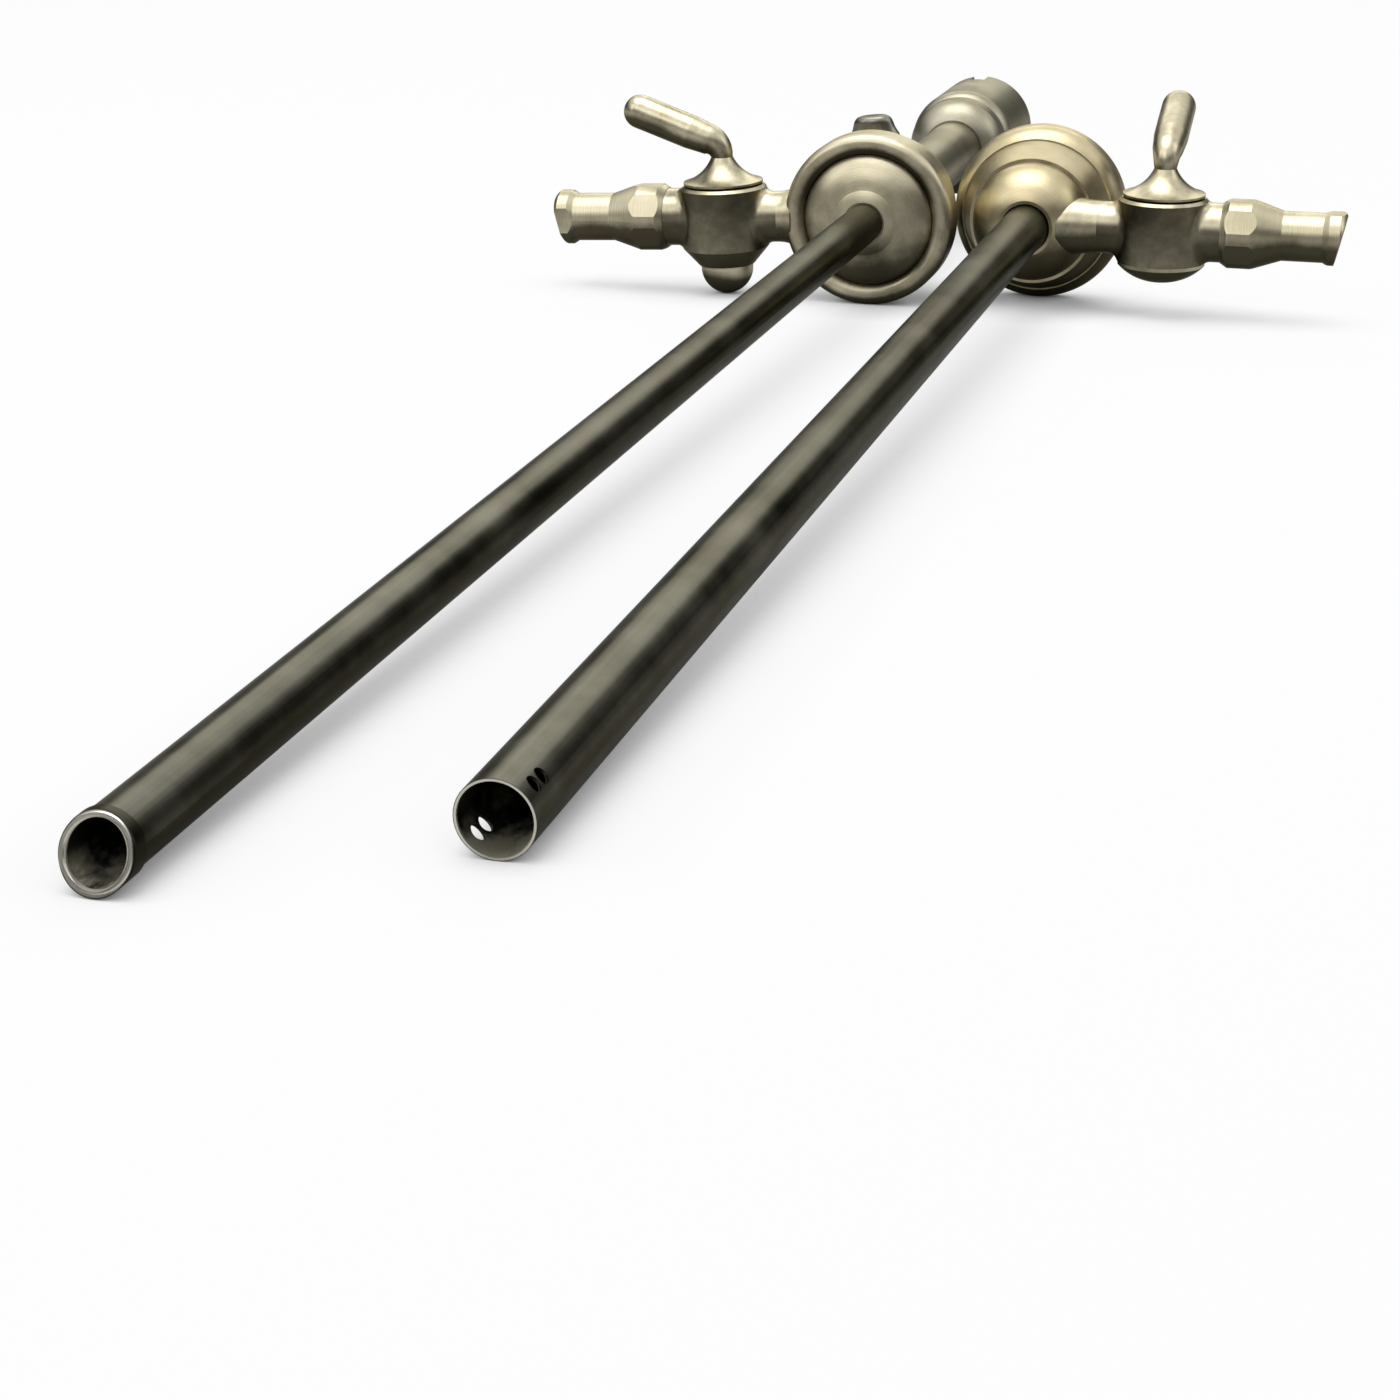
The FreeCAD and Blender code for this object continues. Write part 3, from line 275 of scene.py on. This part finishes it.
def underside_shade(tree, clouds, above, below):
    """Painted shade that darkens the metal more where it faces down, broken up by the clouds of
    handling.
    """
    normal = add(tree, "ShaderNodeTexCoord").outputs["Normal"]
    facing = add(tree, "ShaderNodeSeparateXYZ", Vector=normal).outputs["Z"]
    loose = join(tree, "ADD", facing, spread(tree, clouds, 0.3, 0.7, -0.15, 0.15))
    return spread(tree, loose, above, below, 0.0, UNDERSIDE_SHADE_DEPTH, smooth=True)


def metal(
    name, place, tones, lines, rough, relief,
    facing=HUB_FACING, bore=None, edge=None, slant=0.0, lip=THIN_LIP,
):
    """Satin metal with clouds of handling, fine grain, tool marks and painted shade on the
    undersides.

    bore is the radius inside which the wall gets painted light on its lower side and painted shade
    on its upper side, and edge the length past which the rim of the mouth gets a painted
    highlight.
    """
    worn, bright, dark = tones
    grain_height, marks_height = relief
    material, tree = blank_material(name)
    where = coordinates(tree, *PLACES[place])
    clouds = noise(tree, where, CLOUDS, 5.0, 0.6)
    specks = noise(tree, where, GRAIN, 2.0)
    marks = lines(tree, where)
    patches = weighed(tree, clouds, 0.65, marks, 0.35)
    tone = between(tree, spread(tree, patches, 0.36, 0.64), worn, bright)
    # Painted shade: faces that point down are darkened towards the shade colour
    tone = between(tree, underside_shade(tree, clouds, *facing), tone, dark)
    if bore or edge:
        radius, along = radius_and_length(tree, where)
    roughness = spread(tree, patches, 0.3, 0.7, *rough)
    if bore:
        # Painted light on the lower wall of the bore and painted shade on its upper wall, broken
        # into patches
        inside = spread(tree, radius, bore * 1.02, bore * 1.005)
        lit_patches = noise(tree, scaled(tree, where, LIT_PATCH_SCALE), 1.0, 4.0, 0.6)
        wall = between(tree, spread(tree, lit_patches, 0.44, 0.60), BORE_PAINTED_LIGHT, worn)
        wall = between(tree, underside_shade(tree, clouds, *BORE_FACING), wall, dark)
        tone = between(tree, inside, tone, wall)
        rougher = join(tree, "MULTIPLY", inside, BORE_ROUGHER)
        roughness = join(tree, "ADD", roughness, rougher)
    if edge:
        # Painted highlight along the rim of the mouth
        height = add(tree, "ShaderNodeSeparateXYZ", Vector=where).outputs["Z"]
        along = join(tree, "SUBTRACT", along, join(tree, "MULTIPLY", height, slant))
        rim_highlight = join(
            tree, "MULTIPLY", spread(tree, along, edge + RIM_START, edge + RIM_FULL),
            spread(tree, radius, bore + lip + RIM_FADE, bore + lip),
        )
        tone = between(tree, rim_highlight, tone, RIM_PAINTED_HIGHLIGHT)
    height_of_all = weighed(tree, specks, grain_height, marks, marks_height)
    bump = add(tree, "ShaderNodeBump", Height=height_of_all, Strength=1.0, Distance=MM)
    shader = add(
        tree, "ShaderNodeBsdfPrincipled", Base_Color=tone, Metallic=1.0, Roughness=roughness,
        Specular_Tint=EDGE_TINT, Normal=bump.outputs["Normal"],
    )
    surface(tree, shader)
    return material


def rubber(name, place):
    material, tree = blank_material(name)
    where = coordinates(tree, *PLACES[place])
    dust = noise(tree, where, DUST)
    tone = between(tree, spread(tree, dust, 0.35, 0.7), *RUBBER)
    bump = add(tree, "ShaderNodeBump", Height=dust, Strength=0.5, Distance=0.02 * MM)
    shader = add(
        tree, "ShaderNodeBsdfPrincipled",
        Base_Color=tone, Roughness=RUBBER_ROUGHNESS, Normal=bump.outputs["Normal"],
    )
    surface(tree, shader)
    return material


FINISHES = {"seal": rubber("seal rubber", "inner_tube")}
for side in ("inner", "outer"):
    for part, words in (("tube", "hub nickel"), ("arm", "arm nickel"), ("tap", "tap nickel")):
        tones = WORN_NICKEL if (side, part) == ("outer", "tube") else NICKEL
        FINISHES[f"{side}_{part}_turned"] = metal(
            f"{side} {words}", f"{side}_{part}", tones, HUB_LINES, HUB_SATIN, HUB_RELIEF,
        )
    FINISHES[f"{side}_cast"] = metal(
        f"{side} blasted nickel", f"{side}_arm", NICKEL, cast_skin, CAST_SATIN, CAST_RELIEF,
    )
    FINISHES[f"{side}_barrel"] = metal(
        f"{side} barrel nickel", f"{side}_arm", NICKEL, cast_skin, CAST_SATIN, CAST_RELIEF,
        facing=TAP_FACING,
    )
    FINISHES[f"{side}_ground"] = metal(
        f"{side} ground steel", f"{side}_tap", GROUND_STEEL, FINE_LINES, SMOOTH, GROUND_RELIEF,
    )
FINISHES["inner_drawn"] = metal(
    "inner tube steel", "inner_tube", TUBE_STEEL, drawn_lines, SATIN, DRAWN_RELIEF,
    facing=TUBE_FACING, bore=INNER_BORE,
)
FINISHES["outer_drawn"] = metal(
    "outer tube steel", "outer_tube", TUBE_STEEL, drawn_lines, SATIN, DRAWN_RELIEF,
    facing=TUBE_FACING, bore=OUTER_BORE, edge=-OUTER_REACH,
)
FINISHES["tip"] = metal(
    "brazed tip band", "inner_tube", TIP_STEEL, TIP_LINES, SATIN, TIP_RELIEF,
    facing=TUBE_FACING, bore=INNER_BORE, edge=MOUTH_MIDDLE, slant=MOUTH_SLANT, lip=BAND_LIP,
)
FINISHES["rear"] = metal(
    "rear coupling nickel", "inner_tube", REAR_NICKEL, HUB_LINES, HUB_SATIN, HUB_RELIEF,
)
FINISHES["knob"] = metal(
    "lock knob nickel", "inner_tube", KNOB_NICKEL, cast_skin, CAST_SATIN, CAST_RELIEF,
)

DRESS = {
    "inner_tube_turned": (
        "inner_nose", "inner_drum", "inner_lock_ring", "inner_ring_keeper", "inner_solder_ring",
    ),
    "outer_tube_turned": ("outer_hub_nose", "outer_drum"),
    "rear": ("inner_rear_sleeve", "rear_coupling_nose", "rear_coupling_socket"),
    "knob": ("inner_lock_knob",),
    "inner_arm_turned": ("inner_connector",),
    "outer_arm_turned": ("outer_connector",),
    "inner_tap_turned": ("inner_cock_cap",),
    "outer_tap_turned": ("outer_cock_cap",),
    "inner_cast": ("inner_cock_lever",),
    "outer_cast": ("outer_cock_lever",),
    "inner_barrel": ("inner_cock_body",),
    "outer_barrel": ("outer_cock_body",),
    "inner_drawn": ("inner_tube",),
    "outer_drawn": ("outer_tube",),
    "inner_ground": ("inner_stop_pin", "inner_cock_plug", "inner_cock_spring"),
    "outer_ground": ("outer_cock_plug", "outer_cock_spring"),
    "tip": ("inner_tip_band",),
    "seal": ("rear_seal", "outer_face_seal"),
}
for finish, names in DRESS.items():
    for name in names:
        for slot in bpy.data.objects[name].material_slots:
            slot.material = FINISHES[finish]

# ---- pieces over the solids: the faired nose dome and the brazing round the side arms

FACETS = 96
MERGE_DISTANCE = 0.002 * MM
SMOOTH_ANGLE = math.radians(35.0)


def select_only(piece):
    bpy.ops.object.select_all(action="DESELECT")
    piece.select_set(True)
    bpy.context.view_layer.objects.active = piece


def lathed(name, place, profile, body, finish):
    """Turns a closed outline round the axis of a place.

    The outline is given as pairs of radius and length along the axis, in millimetres.
    """
    nose, lie = PLACES[place]
    (radius, along), *rest = profile
    bpy.ops.object.select_all(action="DESELECT")
    bpy.ops.mesh.primitive_circle_add(
        vertices=FACETS, radius=radius * MM, fill_type="NOTHING",
        location=(0.0, along * MM, 0.0), rotation=(math.radians(90.0), 0.0, 0.0),
    )
    piece = bpy.context.object
    piece.name = name
    bpy.ops.object.transform_apply(location=True, rotation=True, scale=True)
    bpy.ops.object.mode_set(mode="EDIT")
    bpy.ops.mesh.select_all(action="SELECT")
    for next_radius, next_along in (*rest, profile[0]):
        bpy.ops.mesh.extrude_region_move(
            TRANSFORM_OT_translate={"value": (0.0, (next_along - along) * MM, 0.0)},
        )
        growth = next_radius / radius
        bpy.ops.transform.resize(
            value=(growth, 1.0, growth), center_override=(0.0, next_along * MM, 0.0),
        )
        radius, along = next_radius, next_along
    bpy.ops.mesh.select_all(action="SELECT")
    bpy.ops.mesh.remove_doubles(threshold=MERGE_DISTANCE)
    bpy.ops.mesh.normals_make_consistent(inside=False)
    bpy.ops.object.mode_set(mode="OBJECT")
    piece.rotation_euler = lie
    piece.location = nose
    select_only(piece)
    bpy.ops.object.transform_apply(location=True, rotation=True, scale=True)
    bpy.ops.object.shade_smooth_by_angle(angle=SMOOTH_ANGLE)
    piece.data.materials.append(FINISHES[finish])
    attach(piece, body)


# Dome that fairs the inner nose out to the drum's rim, with a fine step round the tube
lathed("inner_nose_dome", "inner_tube", (
    (2.78, -1.2), (2.78, -2.35), (2.95, -2.45), (4.35, -2.14), (4.50, -2.05), (4.62, -2.01),
    (5.30, -1.87), (6.00, -1.70), (6.70, -1.48), (7.40, -1.18), (8.00, -0.84), (8.60, -0.42),
    (9.00, -0.06), (9.20, 0.20), (9.19, 0.45), (9.15, 1.36), (8.64, 1.36), (8.62, 0.9),
    (7.0, 0.3),
), "inner_sheath", "inner_tube_turned")

# Brazing that flares from each side arm to its hub. Lengths run along the arm from the stopcock
ARM = 3.6
BRAZE_ROOT = ARM - 0.3
INNER_COCK_OUT = 21.8
DRUM_RADIUS = 12.1
OUTER_COCK_OUT = 18.7
OUTER_NOSE_RADIUS = 8.3
INNER_WALL = -INNER_COCK_OUT + DRUM_RADIUS
OUTER_WALL = OUTER_COCK_OUT - OUTER_NOSE_RADIUS
lathed("inner_arm_brazing", "inner_arm", (
    (BRAZE_ROOT, INNER_WALL + 1.2),
    (ARM + 0.02, INNER_WALL + 1.2),
    (ARM + 0.07, INNER_WALL + 0.65),
    (ARM + 0.16, INNER_WALL + 0.25),
    (ARM + 0.26, INNER_WALL - 0.08),
    (ARM + 0.34, INNER_WALL - 0.45),
    (ARM + 0.40, INNER_WALL - 0.95),
    (BRAZE_ROOT, INNER_WALL - 0.95),
), "inner_sheath", "inner_cast")
lathed("outer_arm_brazing", "outer_arm", (
    (BRAZE_ROOT, OUTER_WALL - 1.6),
    (ARM + 0.02, OUTER_WALL - 1.6),
    (ARM + 0.08, OUTER_WALL - 0.6),
    (ARM + 0.20, OUTER_WALL + 0.4),
    (ARM + 0.34, OUTER_WALL + 1.4),
    (ARM + 0.46, OUTER_WALL + 2.6),
    (ARM + 0.55, OUTER_WALL + 4.0),
    (BRAZE_ROOT, OUTER_WALL + 4.0),
), "outer_sheath", "outer_cast")

# ---- table, light and camera

TABLE_SIZE = 8.0
PAPER = (0.88, 0.88, 0.88, 1.0)
WHITE = (1.0, 1.0, 1.0, 1.0)
PAPER_SEEN = 0.93
PAPER_IN_METAL = 0.30
CONTACT_SHADE = 12 * MM

FELT = (0.09, 0.085, 0.075, 1.0)
FELT_RADIUS = 2.2
FELT_HEIGHT = 1.1
FELT_MIDDLE = 0.62

SKY_ON_OBJECT = 0.25
SKY_SEEN = 1.0

# Name, place, aim, width and height in metres, and brightness
HUBS = (0.0, 0.05, 0.0)
SOFTBOXES = (
    ("overhead softbox", (-0.12, 0.02, 0.78), HUBS, 0.60, 0.62, 3.4),
    ("back softbox", (-0.16, 1.05, 0.56), HUBS, 0.80, 0.30, 3.6),
    ("front softbox", (-0.22, -0.78, 0.54), HUBS, 0.45, 0.30, 3.0),
    ("left softbox", (-0.60, -0.35, 0.40), (0.0, 0.0, 0.0), 0.30, 0.30, 2.4),
    ("right softbox", (0.70, 0.10, 0.42), HUBS, 0.25, 0.40, 1.8),
)

CAMERA_PLACE = (0.081243, -0.338067, 0.079133)
CAMERA_TURN = 15.473
CAMERA_PITCH = 18.097
CAMERA_ROLL = 0.455
FOCAL_LENGTH = 77.15
SENSOR_WIDTH = 36.0


def white_paper():
    """Paper that the camera sees as nearly white and the metal as pale, and that takes shadows,
    with a painted contact shadow from ambient occlusion near the object.
    """
    material, tree = blank_material("white paper")
    path = add(tree, "ShaderNodeLightPath").outputs
    through = join(tree, "MAXIMUM", path["Is Camera Ray"], path["Is Transmission Ray"])
    share = join(
        tree, "MAXIMUM",
        join(tree, "MULTIPLY", through, PAPER_SEEN),
        join(tree, "MULTIPLY", path["Is Glossy Ray"], PAPER_IN_METAL),
    )
    # Painted contact shadow: the white share fades where the object is near
    painted_contact_shadow = add(
        tree, "ShaderNodeAmbientOcclusion", {"samples": 8}, Distance=CONTACT_SHADE,
    ).outputs["AO"]
    share = join(tree, "MULTIPLY", share, painted_contact_shadow)
    matt = add(tree, "ShaderNodeBsdfDiffuse", Color=PAPER)
    white = add(tree, "ShaderNodeEmission", Color=WHITE, Strength=1.0)
    mixed = add(tree, "ShaderNodeMixShader", Fac=share)
    tree.links.new(matt.outputs[0], mixed.inputs[1])
    tree.links.new(white.outputs[0], mixed.inputs[2])
    surface(tree, mixed)
    return material


def softbox(name, place, aim, width, height, brightness):
    """Rectangular lamp whose face shines with the given brightness."""
    lamp = bpy.data.lights.new(name, "AREA")
    lamp.shape = "RECTANGLE"
    lamp.size = width
    lamp.size_y = height
    lamp.energy = brightness * math.pi * width * height
    holder = bpy.data.objects.new(name, lamp)
    holder.location = place
    holder.rotation_mode = "QUATERNION"
    holder.rotation_quaternion = (Vector(aim) - Vector(place)).to_track_quat("-Z", "Y")
    bpy.context.scene.collection.objects.link(holder)


bpy.ops.object.select_all(action="DESELECT")
bpy.ops.mesh.primitive_plane_add(size=TABLE_SIZE, location=(0.0, 0.0, 0.0))
table = bpy.context.object
table.name = "table"
table.data.materials.append(white_paper())

for lamp_words in SOFTBOXES:
    softbox(*lamp_words)

# Low wall of dark felt round the table, out of the camera's sight, that gives the metal dark sides
bpy.ops.object.select_all(action="DESELECT")
bpy.ops.mesh.primitive_cylinder_add(
    vertices=64, radius=FELT_RADIUS, depth=FELT_HEIGHT, end_fill_type="NOTHING",
    location=(0.0, 0.0, FELT_MIDDLE),
)
felt_wall = bpy.context.object
felt_wall.name = "felt surround"
felt, felt_tree = blank_material("dark felt")
surface(felt_tree, add(felt_tree, "ShaderNodeBsdfDiffuse", Color=FELT))
felt_wall.data.materials.append(felt)
felt_wall.visible_camera = False

# White sky that is weak on the object itself
scene = bpy.context.scene
world = bpy.data.worlds.new("studio")
scene.world = world
world.use_nodes = True
sky = world.node_tree
sky.nodes.clear()
ray = add(sky, "ShaderNodeLightPath").outputs
direct = join(sky, "MAXIMUM", ray["Is Camera Ray"], ray["Is Transmission Ray"])
direct = join(sky, "MAXIMUM", direct, ray["Is Glossy Ray"])
strength = spread(sky, direct, 0.0, 1.0, SKY_ON_OBJECT, SKY_SEEN)
glow = add(sky, "ShaderNodeBackground", Color=WHITE, Strength=strength)
sky_output = add(sky, "ShaderNodeOutputWorld")
sky.links.new(glow.outputs[0], sky_output.inputs["Surface"])

scene.view_settings.view_transform = "Standard"

lens = bpy.data.cameras.new("camera")
lens.sensor_width = SENSOR_WIDTH
lens.lens = FOCAL_LENGTH
lens.clip_start = 0.01
camera = bpy.data.objects.new("camera", lens)
camera.location = CAMERA_PLACE
camera.rotation_euler = lie_of(
    ((CAMERA_TURN, "Z"), (90.0 - CAMERA_PITCH, "X"), (CAMERA_ROLL, "Z")),
)
scene.collection.objects.link(camera)
scene.camera = camera
